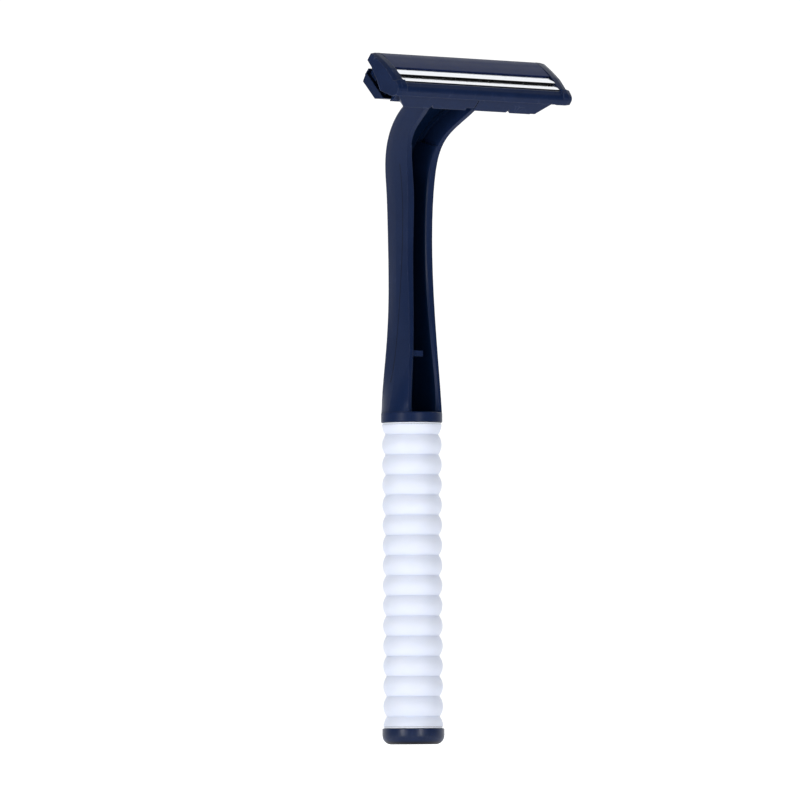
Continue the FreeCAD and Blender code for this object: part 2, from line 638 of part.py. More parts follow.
# Rails: each is a wall beside the tongue and a hook behind it.
hook_back = "(channel_depth + 2 * slide_gap + tongue_thickness + rail_hook)"
hook_front = f"({hook_back} - rail_hook)"
lip_top = "(tongue_top + tongue_lip + slide_gap)"
rear_rail = new_sketch(platform, "rear_rail_profile", "YZ_Plane")
outline(rear_rail, [
    (rail_rear, "-channel_depth + join_depth"),
    (lip_top, "-channel_depth + join_depth"),
    (lip_top, f"-{hook_front}"),
    ("tongue_top + slide_gap", f"-{hook_front}"),
    ("tongue_top + slide_gap", f"-{hook_back}"),
    (rail_rear, f"-{hook_back}"),
])
pad(platform, "rear_rail", rear_rail, f"2 * {window_half}")
lip_low = f"({web_low} - tongue_lip - slide_gap)"
front_rail = new_sketch(platform, "front_rail_profile", "YZ_Plane")
outline(front_rail, [
    ("-front_rail_face + 0.5 * rail_wall", "-channel_depth + join_depth"),
    (lip_low, "-channel_depth + join_depth"),
    (lip_low, f"-{hook_front}"),
    (f"{web_low} - slide_gap", f"-{hook_front}"),
    (f"{web_low} - slide_gap", f"-{hook_back}"),
    ("-front_rail_face + 0.5 * rail_wall", f"-{hook_back}"),
])
pad(platform, "front_hook", front_rail, "front_rail_length - 2 * front_rail_slant")

# Outer face of the front rail, a band whose ends slant in.
band_inner = "(-bar_low_front - slide_gap * 3)"
upper = new_sketch(platform, "band_upper", "XY_Plane", ("0", "0", "-front_rail_top + join_depth"))
outline(upper, rectangle("-front_rail_length / 2", "front_rail_length / 2", "-front_rail_face", band_inner))
lower = new_sketch(platform, "band_lower", "XY_Plane", ("0", "0", "-front_rail_depth"))
outline(lower, rectangle("-(front_rail_length / 2 - front_rail_slant)",
                         "front_rail_length / 2 - front_rail_slant", "-front_rail_face", band_inner))
loft(platform, "front_band", [upper, lower], ruled=True)

# Foot behind the band, deeper at its inner side.
foot = new_sketch(platform, "rail_foot_profile", "YZ_Plane")
foot_face = "(-front_rail_face + rail_wall)"
outline(foot, [
    (foot_face, "-front_rail_top - join_depth"),
    (foot_face, "-rail_foot_depth + rail_foot_rise"),
    (band_inner, "-rail_foot_depth"),
    (band_inner, "-front_rail_top - join_depth"),
])
pad(platform, "rail_foot", foot, "rail_foot_length")

# Raised pads on the band's lower edge, and notches beside them.
for side in (-1, 1):
    name = "right" if side > 0 else "left"
    pads = new_sketch(platform, f"{name}_pad_section", "XY_Plane",
                      ("0", "0", "-front_rail_depth + notch_height"))
    inner_x = f"{side} * notch_place"
    outer_x = f"{side} * (notch_place + pad_length)"
    edges = (inner_x, outer_x) if side > 0 else (outer_x, inner_x)
    outline(pads, rectangle(*edges, "-front_rail_face", "-front_rail_face + 0.8 * rail_wall"))
    pad(platform, f"{name}_pad", pads, "notch_height + pad_height", symmetric=False, reverse=True)
    notch = new_sketch(platform, f"{name}_notch_profile", "XZ_Plane", ("0", "0", "front_rail_face"))
    outline(notch, [
        (f"{side} * notch_place - notch_width / 2", "-rail_foot_depth - pad_height"),
        (f"{side} * notch_place + notch_width / 2", "-rail_foot_depth - pad_height"),
        (f"{side} * notch_place", "-front_rail_depth + notch_height"),
    ])
    pad(platform, f"{name}_notch", notch, "4 * rail_wall", cut=True)

# Square notch at the middle of the band's lower edge, and a slit beside it.
gate = new_sketch(platform, "gate_section", "XZ_Plane", ("0", "0", "front_rail_face"))
outline(gate, rectangle("-gate_width / 2", "gate_width / 2",
                        "-rail_foot_depth - pad_height", "-front_rail_depth + gate_height"))
pad(platform, "gate", gate, "4 * rail_wall", cut=True)
slit = new_sketch(platform, "slit_section", "XZ_Plane", ("0", "0", "front_rail_face"))
outline(slit, rectangle("gate_width / 2 - slit_width", "gate_width / 2",
                        "-rail_foot_depth", "-front_rail_top - slit_depth"))
pad(platform, "slit", slit, "2 * slit_depth", cut=True)


# Blind sockets for the cap's studs, square to the blades.
STUD_STEPS = (-1.5, -0.5, 0.5, 1.5)
stud_places = [(f"{step} * stud_spacing", "stud_place") for step in STUD_STEPS]


def stack_plane(body, name, height):
    """A sketch plane in a body drawn in the head frame, parallel to the blades."""
    y = f"-seat_edge + {height} * sin(blade_tilt)"
    z = f"-seat_edge_depth + {height} * cos(blade_tilt)"
    return new_sketch(body, name, "XY_Plane", ("0", y, z), turn="-blade_tilt")


sockets = stack_plane(platform, "socket_section", "(-blade_thickness / 2)")
circles(sockets, stud_places, "stud_radius + press_gap")
pad(platform, "sockets", sockets, "stud_depth + socket_spare", symmetric=False, cut=True)
place_on_head(platform)

# ------------------------------------------------------------------ blades
# Thin steel strips with a bevel ground on both sides of the edge and holes for the studs.
upper_blade = "(spacer_thickness + blade_thickness)"
blade_length = f"(2 * {window_half} - 2 * end_gap)"
for name, setback, height in (("seat_blade", "0", "0"), ("cap_blade", "blade_span", upper_blade)):
    blade = new_body(name)
    profile = new_sketch(blade, f"{name}_profile", "YZ_Plane")
    outline(profile, [
        (setback, height),
        (f"{setback} + blade_bevel", f"{height} - blade_thickness / 2"),
        (f"{setback} + blade_width", f"{height} - blade_thickness / 2"),
        (f"{setback} + blade_width", f"{height} + blade_thickness / 2"),
        (f"{setback} + blade_bevel", f"{height} + blade_thickness / 2"),
    ])
    pad(blade, f"{name}_strip", profile, blade_length)
    holes = new_sketch(blade, f"{name}_hole_section", "XY_Plane")
    circles(holes, stud_places, "stud_radius + stud_gap")
    pad(blade, f"{name}_holes", holes, "4 * spacer_thickness", cut=True)
    place_on_stack(blade)

# ------------------------------------------------------------------ spacer
spacer = new_body("blade_spacer")
profile = new_sketch(spacer, "spacer_profile", "YZ_Plane")
outline(profile, rectangle("blade_span + spacer_setback", "blade_width",
                           "blade_thickness / 2", "blade_thickness / 2 + spacer_thickness"))
pad(spacer, "spacer_strip", profile, blade_length)
holes = new_sketch(spacer, "spacer_hole_section", "XY_Plane")
circles(holes, stud_places, "stud_radius + stud_gap")
pad(spacer, "spacer_holes", holes, "4 * spacer_thickness", cut=True)
place_on_stack(spacer)

# ------------------------------------------------------------------ cap
# Crowned cover over the blades. A skirt at the rear stands on the platform, and the studs go
# down through the blades and the spacer.
cap = new_body("cartridge_cap")
stack_top = "(1.5 * blade_thickness + spacer_thickness)"
skirt_front = "(cap_edge - skirt_thickness)"
flange_edge = "(cap_edge - cap_flange)"
profile = new_sketch(cap, "cap_profile", "YZ_Plane")
outline(profile, [
    ("cap_lip", stack_line("cap_lip", stack_top)),
    ("cap_lip", "-cap_crown"),
    ("cap_fold", "-fold_depth", "(cap_lip + cap_fold) / 2", "-(cap_crown + fold_depth) / 2 + cap_front_bulge"),
    ("cap_edge - cap_corner", "wall_top_out",
     "(cap_fold + cap_edge) / 2", "(wall_top_out - fold_depth) / 2 + cap_rear_bulge"),
    ("cap_edge", "wall_top_out - cap_corner_drop",
     "cap_edge - cap_corner / 3", "wall_top_out - cap_corner_drop / 3"),
    ("cap_edge", "wall_heel_out"),
    (flange_edge, "wall_heel_out"),
    (flange_edge, stack_line(flange_edge, "(-blade_thickness / 2)")),
    (skirt_front, stack_line(skirt_front, "(-blade_thickness / 2)")),
    (skirt_front, stack_line(skirt_front, stack_top)),
])
pad(cap, "cap_cover", profile, blade_length)
studs = stack_plane(cap, "stud_section", f"({stack_top} + stud_root)")
circles(studs, stud_places, "stud_radius")
pad(cap, "studs", studs, f"{stack_top} + stud_root + stud_depth", symmetric=False, reverse=True)
place_on_head(cap)

# ------------------------------------------------------------------ checks and export
NODES = ["end_cap", "grip_core", "grip_sleeve", "handle_neck", "cartridge_platform",
         "seat_blade", "blade_spacer", "cap_blade", "cartridge_cap"]
doc.recompute()
for thing in doc.Objects:
    if "Invalid" in thing.State or "Error" in thing.State:
        raise RuntimeError(f"{thing.Label} failed: {thing.State}")
os.makedirs("parts", exist_ok=True)
for node in NODES:
    body = doc.getObjectsByLabel(node)[0]
    if body.Shape.isNull() or not body.Shape.isValid() or len(body.Shape.Solids) != 1:
        raise RuntimeError(f"{node} is not one valid solid")
    body.Shape.exportStep(f"parts/{node}.step")
    print(f"{node}: {body.Shape.Volume:.1f} mm3")
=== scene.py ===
"""Twin-blade cartridge razor standing upright: the looks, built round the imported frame."""
import math

import bpy
import numpy as np
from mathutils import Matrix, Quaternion, Vector


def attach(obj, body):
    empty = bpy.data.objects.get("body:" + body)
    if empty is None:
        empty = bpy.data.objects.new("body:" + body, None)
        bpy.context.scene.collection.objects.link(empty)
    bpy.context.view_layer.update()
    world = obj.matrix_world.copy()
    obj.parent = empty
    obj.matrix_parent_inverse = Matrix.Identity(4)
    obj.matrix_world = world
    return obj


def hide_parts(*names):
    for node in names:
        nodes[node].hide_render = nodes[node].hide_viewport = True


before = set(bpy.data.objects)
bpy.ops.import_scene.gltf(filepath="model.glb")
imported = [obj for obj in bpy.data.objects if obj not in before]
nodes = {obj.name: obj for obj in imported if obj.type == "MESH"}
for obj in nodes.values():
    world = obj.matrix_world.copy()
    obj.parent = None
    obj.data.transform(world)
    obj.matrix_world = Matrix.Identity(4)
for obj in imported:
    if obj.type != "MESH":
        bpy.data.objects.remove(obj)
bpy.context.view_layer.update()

# --- End cap
# Navy cap that closes the foot of the handle. Moulded in polypropylene with a rounded lower edge
# and a small gate mark underneath, and pressed into the core by its plug.
CAP_RADIUS, CAP_HEIGHT, CAP_CORNER, CAP_TOP_EDGE = 5.6e-3, 2.9e-3, 1.6e-3, 0.16e-3
PLUG_RADIUS, PLUG_TOP = 2.5e-3, 9.0e-3
# The gate mark is a dimple with a rounded floor, in a shallow dish that fades into the flat foot.
GATE_RADIUS, GATE_DEPTH, GATE_FLOOR_SHARE, GATE_ROUND_SHARE = 0.9e-3, 0.18e-3, 0.55, 0.1
DISH_RADIUS, DISH_DEPTH = 1.8e-3, 0.02e-3
TURNED_SEGMENTS, SHARP_ANGLE = 160, 38


def arc_points(centre, radius, start, finish, count):
    """Points of a circle's arc: centre + radius (cos t, sin t), with t from start to finish in
    degrees."""
    t = np.radians(np.linspace(start, finish, count))
    return np.stack([centre[0] + radius * np.cos(t), centre[1] + radius * np.sin(t)], axis=1)


def turned_mesh(name, profile, segments, ring=False, swell=None):
    """Surface of revolution: (r cos a, r sin a, z) for each point (r, z) of the profile and each
    angle a round the axis. A ring's profile closes on itself; any other is closed by a flat face
    at both ends. swell(a, z) is added to the radius where a piece isn't truly round."""
    angle = (np.arange(segments) + 0.5) * 2 * np.pi / segments
    radius = profile[:, :1] + (swell(angle[None, :], profile[:, 1:]) if swell else 0)
    height = np.broadcast_to(profile[:, 1:], radius.shape if swell else (len(profile), segments))
    points = np.stack([radius * np.cos(angle), radius * np.sin(angle), height], axis=2)
    rows = len(profile)
    row = np.arange(rows if ring else rows - 1)[:, None]
    column = np.arange(segments)[None, :]
    after, beside = (row + 1) % rows, (column + 1) % segments
    quads = np.stack([row * segments + column, row * segments + beside,
                      after * segments + beside, after * segments + column], axis=2)
    faces = quads.reshape(-1, 4).tolist()
    if not ring:
        faces.append(list(range(segments))[::-1])
        faces.append(list(range((rows - 1) * segments, rows * segments)))
    mesh = bpy.data.meshes.new(name)
    mesh.from_pydata(points.reshape(-1, 3).tolist(), [], faces)
    mesh.shade_smooth()
    mesh.set_sharp_from_angle(angle=math.radians(SHARP_ANGLE))
    return mesh


def new_piece(name, mesh, body, replaced, material):
    """A finished piece that rides on a body and stands for CAD nodes."""
    piece = bpy.data.objects.new(name, mesh)
    bpy.context.scene.collection.objects.link(piece)
    mesh.materials.append(material)
    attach(piece, body)
    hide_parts(*replaced)


def new_group(name, inputs, outputs):
    """An empty shader node group with named sockets; gives its tree, entrance and exit."""
    tree = bpy.data.node_groups.new(name, "ShaderNodeTree")
    for label, kind, default in inputs:
        socket = tree.interface.new_socket(label, in_out="INPUT", socket_type=kind)
        socket.default_value = default
    for label, kind in outputs:
        tree.interface.new_socket(label, in_out="OUTPUT", socket_type=kind)
    return tree, tree.nodes.new("NodeGroupInput"), tree.nodes.new("NodeGroupOutput")


def add_node(tree, kind, inputs=(), **settings):
    """A node with its settings, and its inputs set to a value or linked to an output."""
    node = tree.nodes.new(kind)
    for setting, value in settings.items():
        setattr(node, setting, value)
    for socket, value in dict(inputs).items():
        if isinstance(value, bpy.types.NodeSocket):
            tree.links.new(value, node.inputs[socket])
        else:
            node.inputs[socket].default_value = value
    return node


def math_node(tree, operation, *values, clamp=False):
    """The output of a Math node that works on up to three values or outputs."""
    return add_node(tree, "ShaderNodeMath", dict(enumerate(values)),
                    operation=operation, use_clamp=clamp).outputs[0]


def ramp(tree, value, start, finish, first=0.0, last=1.0, smooth=False):
    """A value's place between start and finish, drawn out from first to last and held there."""
    return add_node(tree, "ShaderNodeMapRange", {
        "Value": value, "From Min": start, "From Max": finish, "To Min": first, "To Max": last},
        interpolation_type="SMOOTHSTEP" if smooth else "LINEAR").outputs["Result"]


def blend_colours(tree, factor, first, second):
    """The colour that lies from first, at factor 0, to second, at factor 1."""
    factor_in, first_in, second_in, colour_out = 0, 6, 7, 2
    mixer = add_node(tree, "ShaderNodeMix", {factor_in: factor, first_in: first,
                                             second_in: second}, data_type="RGBA")
    return mixer.outputs[colour_out]


# Soft mottling of a moulded surface: a cloudy part, from the melt's flow, and a fine grain.
grain, entry, leave = new_group(
    "moulded_grain",
    [("Place", "NodeSocketVector", (0, 0, 0)), ("Cloud size", "NodeSocketFloat", 300.0),
     ("Grain size", "NodeSocketFloat", 4000.0)],
    [("Cloud", "NodeSocketFloat"), ("Grain", "NodeSocketFloat")])
cloud = add_node(grain, "ShaderNodeTexNoise", {
    "Vector": entry.outputs["Place"], "Scale": entry.outputs["Cloud size"],
    "Detail": 3.0, "Roughness": 0.55})
fine = add_node(grain, "ShaderNodeTexNoise", {
    "Vector": entry.outputs["Place"], "Scale": entry.outputs["Grain size"],
    "Detail": 2.0, "Roughness": 0.6})
grain.links.new(cloud.outputs["Fac"], leave.inputs["Cloud"])
grain.links.new(fine.outputs["Fac"], leave.inputs["Grain"])

# Worn edges with painted highlights: where the rounded normal of the bevel leaves the flat one,
# broken up by noise. The mask lightens the colour along edges, partly as real wear and partly as a
# painted edge highlight.
EDGE_GAIN, BREAKUP_GAIN, BREAKUP_OFFSET = 5.0, 1.6, -0.3
wear_and_highlight, entry, leave = new_group(
    "edge_wear_and_highlight",
    [("Place", "NodeSocketVector", (0, 0, 0)), ("Radius", "NodeSocketFloat", 0.0001),
     ("Breakup", "NodeSocketFloat", 900.0)],
    [("Mask", "NodeSocketFloat"), ("Normal", "NodeSocketVector")])
rounded = add_node(wear_and_highlight, "ShaderNodeBevel", {"Radius": entry.outputs["Radius"]}, samples=6)
flat = add_node(wear_and_highlight, "ShaderNodeNewGeometry")
alike = add_node(wear_and_highlight, "ShaderNodeVectorMath", {
    0: rounded.outputs["Normal"], 1: flat.outputs["Normal"]}, operation="DOT_PRODUCT")
turned_away = math_node(wear_and_highlight, "SUBTRACT", 1.0, alike.outputs["Value"])
turned_away = math_node(wear_and_highlight, "MULTIPLY", turned_away, EDGE_GAIN, clamp=True)
breakup = add_node(wear_and_highlight, "ShaderNodeTexNoise", {
    "Vector": entry.outputs["Place"], "Scale": entry.outputs["Breakup"], "Detail": 4.0})
kept = math_node(wear_and_highlight, "MULTIPLY_ADD", breakup.outputs["Fac"], BREAKUP_GAIN, BREAKUP_OFFSET,
                 clamp=True)
wear_and_highlight.links.new(math_node(wear_and_highlight, "MULTIPLY", turned_away, kept), leave.inputs["Mask"])
wear_and_highlight.links.new(rounded.outputs["Normal"], leave.inputs["Normal"])

# Painted shade for narrow gaps and hollows: how open each point is to its own piece's surroundings,
# used to darken the colour where shade falls.
SHUT_IN, OUT_IN_THE_OPEN = 0.2, 0.6
painted_gap_shade, entry, leave = new_group(
    "painted_gap_shade", [("Reach", "NodeSocketFloat", 0.001)], [("Open", "NodeSocketFloat")])
shelter = add_node(painted_gap_shade, "ShaderNodeAmbientOcclusion", {
    "Distance": entry.outputs["Reach"]}, samples=8)
painted_gap_shade.links.new(ramp(painted_gap_shade, shelter.outputs["AO"], SHUT_IN, OUT_IN_THE_OPEN, smooth=True),
                  leave.inputs["Open"])

# Hairline scratches from use: the edges of stretched cells, kept only in scattered patches.
HAIRLINE_TURN, HAIRLINE_STRETCH, HAIRLINE_WIDTH = (0.35, 0.6, 0.9), (1.0, 1.0, 0.12), 0.02
PATCH_SIZE, PATCH_STARTS, PATCH_FULL = 420.0, 0.56, 0.68
hairlines, entry, leave = new_group(
    "hairline_scratches",
    [("Place", "NodeSocketVector", (0, 0, 0)), ("Size", "NodeSocketFloat", 500.0)],
    [("Mask", "NodeSocketFloat")])
stretched = add_node(hairlines, "ShaderNodeMapping", {
    "Vector": entry.outputs["Place"], "Rotation": HAIRLINE_TURN, "Scale": HAIRLINE_STRETCH})
cells = add_node(hairlines, "ShaderNodeTexVoronoi", {
    "Vector": stretched.outputs["Vector"], "Scale": entry.outputs["Size"]},
    feature="DISTANCE_TO_EDGE")
thin = ramp(hairlines, cells.outputs["Distance"], 0.0, HAIRLINE_WIDTH, 1.0, 0.0)
patches = add_node(hairlines, "ShaderNodeTexNoise", {
    "Vector": entry.outputs["Place"], "Scale": PATCH_SIZE, "Detail": 2.0})
chosen = ramp(hairlines, patches.outputs["Fac"], PATCH_STARTS, PATCH_FULL)
hairlines.links.new(math_node(hairlines, "MULTIPLY", thin, chosen), leave.inputs["Mask"])


def new_material(name):
    """A material, its tree, its shader and its Object coordinates."""
    material = bpy.data.materials.new(name)
    material.use_nodes = True
    tree = material.node_tree
    place = tree.nodes.new("ShaderNodeTexCoord").outputs["Object"]
    return material, tree, tree.nodes["Principled BSDF"], place


# Moulded plastic's tones, as shares of its colour (the deepest and brightest for its mottling, the
# sheltered one for painted shade in gaps), and the share of the grain in them; the depth of its
# scratches, how far its roughness spreads and grows where it is rubbed, and its grain.
DEEPEST, BRIGHTEST, GAP_SHADE_SHARE, GRAIN_SHARE = 0.65, 1.4, 0.12, 0.5
SCRATCH_DEPTH, ROUGHNESS_SPREAD, RUBBED_ROUGHNESS, GRAIN_STRENGTH = 0.5, 0.16, 0.15, 0.6


def plastic(name, colour, wear_and_highlight_colour, roughness, edge, wear_and_highlight_amount, grain_height,
            cloud_size=260.0, shine=0.1, reach=0.0012):
    """Moulded plastic: cloudy colour and gloss, fine grain, edges that are rounded, worn and
    lightened by a painted highlight, and painted shade, a darker colour, in gaps narrower than the
    reach."""
    material, tree, shader, place = new_material(name)
    shader.inputs["Specular IOR Level"].default_value = shine
    mottle = add_node(tree, "ShaderNodeGroup", {"Place": place, "Cloud size": cloud_size},
                      node_tree=grain)
    edges = add_node(tree, "ShaderNodeGroup", {"Place": place, "Radius": edge}, node_tree=wear_and_highlight)
    deep, bright, gap_shade_tone = (
        (*(share * channel for channel in colour), 1) for share in (DEEPEST, BRIGHTEST, GAP_SHADE_SHARE))
    speckle = math_node(tree, "MULTIPLY", mottle.outputs["Grain"], GRAIN_SHARE)
    tone = math_node(tree, "MULTIPLY_ADD", mottle.outputs["Cloud"], 1 - GRAIN_SHARE, speckle)
    base = blend_colours(tree, tone, deep, bright)
    # Painted shade: the colour is darkened in gaps and hollows within the reach.
    gap_shade_node = add_node(tree, "ShaderNodeGroup", {"Reach": reach}, node_tree=painted_gap_shade)
    base = blend_colours(tree, gap_shade_node.outputs["Open"], gap_shade_tone, base)
    scratched = add_node(tree, "ShaderNodeGroup", {"Place": place}, node_tree=hairlines)
    scratches = math_node(tree, "MULTIPLY", scratched.outputs["Mask"], SCRATCH_DEPTH)
    # Edges and scratches take the lighter worn colour: real wear, and along the edges a painted
    # highlight as well.
    rub_and_highlight = math_node(tree, "MAXIMUM", edges.outputs["Mask"], scratches)
    rub_and_highlight = math_node(tree, "MULTIPLY", rub_and_highlight, wear_and_highlight_amount)
    tree.links.new(blend_colours(tree, rub_and_highlight, base, (*wear_and_highlight_colour, 1)), shader.inputs["Base Color"])
    gloss = math_node(tree, "MULTIPLY_ADD", mottle.outputs["Cloud"], ROUGHNESS_SPREAD,
                      roughness - ROUGHNESS_SPREAD / 2)
    tree.links.new(math_node(tree, "MULTIPLY_ADD", rub_and_highlight, RUBBED_ROUGHNESS, gloss),
                   shader.inputs["Roughness"])
    bump = add_node(tree, "ShaderNodeBump", {
        "Height": mottle.outputs["Grain"], "Distance": grain_height, "Strength": GRAIN_STRENGTH,
        "Normal": edges.outputs["Normal"]})
    tree.links.new(bump.outputs["Normal"], shader.inputs["Normal"])
    return material


# The worn colours are lighter than the plastic: they mark wear on edges and scratches and paint a
# highlight along the edges.
NAVY, NAVY_WEAR_AND_HIGHLIGHT = (0.007, 0.017, 0.058), (0.04, 0.055, 0.115)
navy_cap = plastic("navy_cap_plastic", NAVY, NAVY_WEAR_AND_HIGHLIGHT, roughness=0.32, edge=1.2e-4,
                   wear_and_highlight_amount=0.6, grain_height=9e-6, cloud_size=700.0, shine=0.26)
cap_profile = np.concatenate([
    arc_points((GATE_RADIUS * GATE_FLOOR_SHARE, GATE_DEPTH), GATE_RADIUS * GATE_ROUND_SHARE,
               90, -90, 5),
    [(GATE_RADIUS, DISH_DEPTH), (DISH_RADIUS, 0.0)],
    arc_points((CAP_RADIUS - CAP_CORNER, CAP_CORNER), CAP_CORNER, -90, 0, 18),
    arc_points((CAP_RADIUS - CAP_TOP_EDGE, CAP_HEIGHT - CAP_TOP_EDGE), CAP_TOP_EDGE, 0, 90, 6),
    [(PLUG_RADIUS, CAP_HEIGHT), (PLUG_RADIUS, PLUG_TOP)],
])
cap_mesh = turned_mesh("end_cap_moulding", cap_profile, TURNED_SEGMENTS)
new_piece("end_cap_moulding", cap_mesh, "handle", ["end_cap"], navy_cap)

# --- Grip core
# White tube that carries the sleeve. Moulded in stiff white plastic; only the rims of its two end
# flanges show, as thin bright rings above and below the sleeve.
FLANGE_RADIUS, FLANGE_THICKNESS, FLANGE_EDGE = 5.3e-3, 0.35e-3, 0.08e-3
CORE_RADIUS, CORE_BORE = 3.6e-3, 2.6e-3
GRIP_FOOT, GRIP_LENGTH = CAP_HEIGHT + FLANGE_THICKNESS, 54.6e-3
GRIP_TOP = GRIP_FOOT + GRIP_LENGTH
# The worn white also paints a highlight along the edges.
STIFF_WHITE, STIFF_WHITE_WEAR_AND_HIGHLIGHT = (0.83, 0.86, 0.93), (0.93, 0.94, 0.97)
white_core = plastic("white_core_plastic", STIFF_WHITE, STIFF_WHITE_WEAR_AND_HIGHLIGHT, roughness=0.32,
                     edge=8e-5, wear_and_highlight_amount=0.4, grain_height=4e-6)


def flange_rim(underside):
    """A flange's rim in the profile: a quarter turn out and up at its lower edge, and a quarter
    turn up and in at its upper edge, each of the edge's radius."""
    across = FLANGE_RADIUS - FLANGE_EDGE
    return np.concatenate([
        arc_points((across, underside + FLANGE_EDGE), FLANGE_EDGE, -90, 0, 4),
        arc_points((across, underside + FLANGE_THICKNESS - FLANGE_EDGE), FLANGE_EDGE, 0, 90, 4)])


core_profile = np.concatenate([
    [(CORE_BORE, CAP_HEIGHT)],
    flange_rim(CAP_HEIGHT),
    [(CORE_RADIUS, GRIP_FOOT), (CORE_RADIUS, GRIP_TOP)],
    flange_rim(GRIP_TOP),
    [(CORE_BORE, GRIP_TOP + FLANGE_THICKNESS)],
])
core_mesh = turned_mesh("grip_core_tube", core_profile, TURNED_SEGMENTS, ring=True)
new_piece("grip_core_tube", core_mesh, "handle", ["grip_core"], white_core)

# --- Grip sleeve
# Soft white sleeve with fourteen full ribs and a half rib at each end. Moulded in elastomer with a
# matt, slightly powdery skin, and stretched over the core between the flanges.
RIBS, RIB_PITCH = 15, 3.64e-3
RIB_PEAK, RIB_VALLEY, VALLEY_SOFTNESS = 5.4e-3, 4.73e-3, 0.05e-3
SEAM_HEIGHT, SEAM_WIDTH = 0.018e-3, 0.16e-3
ROWS_PER_RIB, SLEEVE_SEGMENTS = 16, 144
SKIN_COOL, SKIN_WARM = (0.785, 0.835, 0.985, 1), (0.82, 0.86, 0.99, 1)
SKIN_ROUGHNESS, SKIN_ROUGHNESS_SPREAD, SKIN_CLOUD_SIZE = 0.42, 0.14, 190.0
SKIN_GRAIN_SIZE, SKIN_GRAIN_HEIGHT, SKIN_GRAIN_STRENGTH = 5200.0, 9e-6, 0.7
GROOVE_TONE, GROOVE_NARROWNESS, GROOVE_LEAST, GROOVE_SPREAD = (0.60, 0.66, 0.80, 1), 9.0, 0.05, 0.6


def rib_radius(height):
    """Radius of the sleeve at heights above its foot: each rib is a circle's arc about its crown,
    r = peak - R + sqrt(R^2 - d^2) at distance d from the crown, eased where two arcs meet."""
    rise = RIB_PEAK - RIB_VALLEY
    arc = (rise ** 2 + RIB_PITCH ** 2 / 4) / (2 * rise)
    distance = np.abs((height / RIB_PITCH + 0.5) % 1 - 0.5) * RIB_PITCH
    radius = RIB_PEAK - arc + np.sqrt(arc ** 2 - distance ** 2)
    return RIB_VALLEY + np.sqrt((radius - RIB_VALLEY) ** 2 + VALLEY_SOFTNESS ** 2)


def seam_swell(angle, height):
    """The mould's parting line: a low ridge, exp(-(arc length / width)^2), on two sides."""
    round_axis = np.exp(1j * angle)
    across = np.minimum(np.abs(np.angle(round_axis)), np.abs(np.angle(-round_axis))) * RIB_PEAK
    return SEAM_HEIGHT * np.exp(-(across / SEAM_WIDTH) ** 2) + 0 * height


white_rubber, tree, shader, place = new_material("white_elastomer")
mottle = add_node(tree, "ShaderNodeGroup", {
    "Place": place, "Cloud size": SKIN_CLOUD_SIZE, "Grain size": SKIN_GRAIN_SIZE}, node_tree=grain)
# The colour darkens in the grooves, which lie half a pitch from the crowns.
up = add_node(tree, "ShaderNodeSeparateXYZ", {"Vector": place}).outputs["Z"]
count = math_node(tree, "DIVIDE", math_node(tree, "SUBTRACT", up, GRIP_FOOT), RIB_PITCH)
along = math_node(tree, "FRACT", math_node(tree, "ADD", count, 0.5))
from_crown = math_node(tree, "ABSOLUTE", math_node(tree, "SUBTRACT", along, 0.5))
groove = math_node(tree, "MULTIPLY", from_crown, 2.0, clamp=True)
groove = math_node(tree, "POWER", groove, GROOVE_NARROWNESS)
amount = math_node(tree, "MULTIPLY_ADD", mottle.outputs["Cloud"], GROOVE_SPREAD, GROOVE_LEAST)
skin = blend_colours(tree, mottle.outputs["Cloud"], SKIN_COOL, SKIN_WARM)
skin = blend_colours(tree, math_node(tree, "MULTIPLY", groove, amount), skin, GROOVE_TONE)
tree.links.new(skin, shader.inputs["Base Color"])
tree.links.new(math_node(tree, "MULTIPLY_ADD", mottle.outputs["Cloud"], SKIN_ROUGHNESS_SPREAD,
                         SKIN_ROUGHNESS), shader.inputs["Roughness"])
shader.inputs["Subsurface Weight"].default_value = 0.25
shader.inputs["Subsurface Radius"].default_value = (1.0, 0.9, 0.8)
shader.inputs["Subsurface Scale"].default_value = 0.0008
shader.inputs["Sheen Weight"].default_value = 0.08
bump = add_node(tree, "ShaderNodeBump", {
    "Height": mottle.outputs["Grain"], "Distance": SKIN_GRAIN_HEIGHT,
    "Strength": SKIN_GRAIN_STRENGTH})
tree.links.new(bump.outputs["Normal"], shader.inputs["Normal"])

sleeve_rows = np.arange(RIBS * ROWS_PER_RIB + 1) / ROWS_PER_RIB
sleeve_height = np.clip(sleeve_rows * RIB_PITCH, 0, GRIP_LENGTH)
outside = np.stack([rib_radius(sleeve_height), GRIP_FOOT + sleeve_height], axis=1)
inside = np.array([(CORE_RADIUS, GRIP_TOP), (CORE_RADIUS, GRIP_FOOT)])
sleeve_mesh = turned_mesh("grip_sleeve_ribs", np.concatenate([outside, inside]), SLEEVE_SEGMENTS,
                          ring=True, swell=seam_swell)
new_piece("grip_sleeve_ribs", sleeve_mesh, "handle", ["grip_sleeve"], white_rubber)

# --- Neck and cross bar
# Hollow stem that bends forward and ends in the cross bar. One moulding in satin navy
# polypropylene, open at the front, pushed down into the core up to its round collar.


def dress(node, material):
    """Gives a CAD node its finish in place of the frame's."""
    slots = nodes[node].data.materials
    slots.clear()
    slots.append(material)


navy_neck = plastic("navy_neck_plastic", NAVY, NAVY_WEAR_AND_HIGHLIGHT, roughness=0.36, edge=1.6e-4,
                    wear_and_highlight_amount=0.6, grain_height=7e-6, cloud_size=170.0, reach=0.0045)
dress("handle_neck", navy_neck)
tree = navy_neck.node_tree
shader = tree.nodes["Principled BSDF"]
place = tree.nodes["Texture Coordinate"].outputs["Object"]
x, y, z = add_node(tree, "ShaderNodeSeparateXYZ", {"Vector": place}).outputs
sideways = math_node(tree, "ABSOLUTE", x)

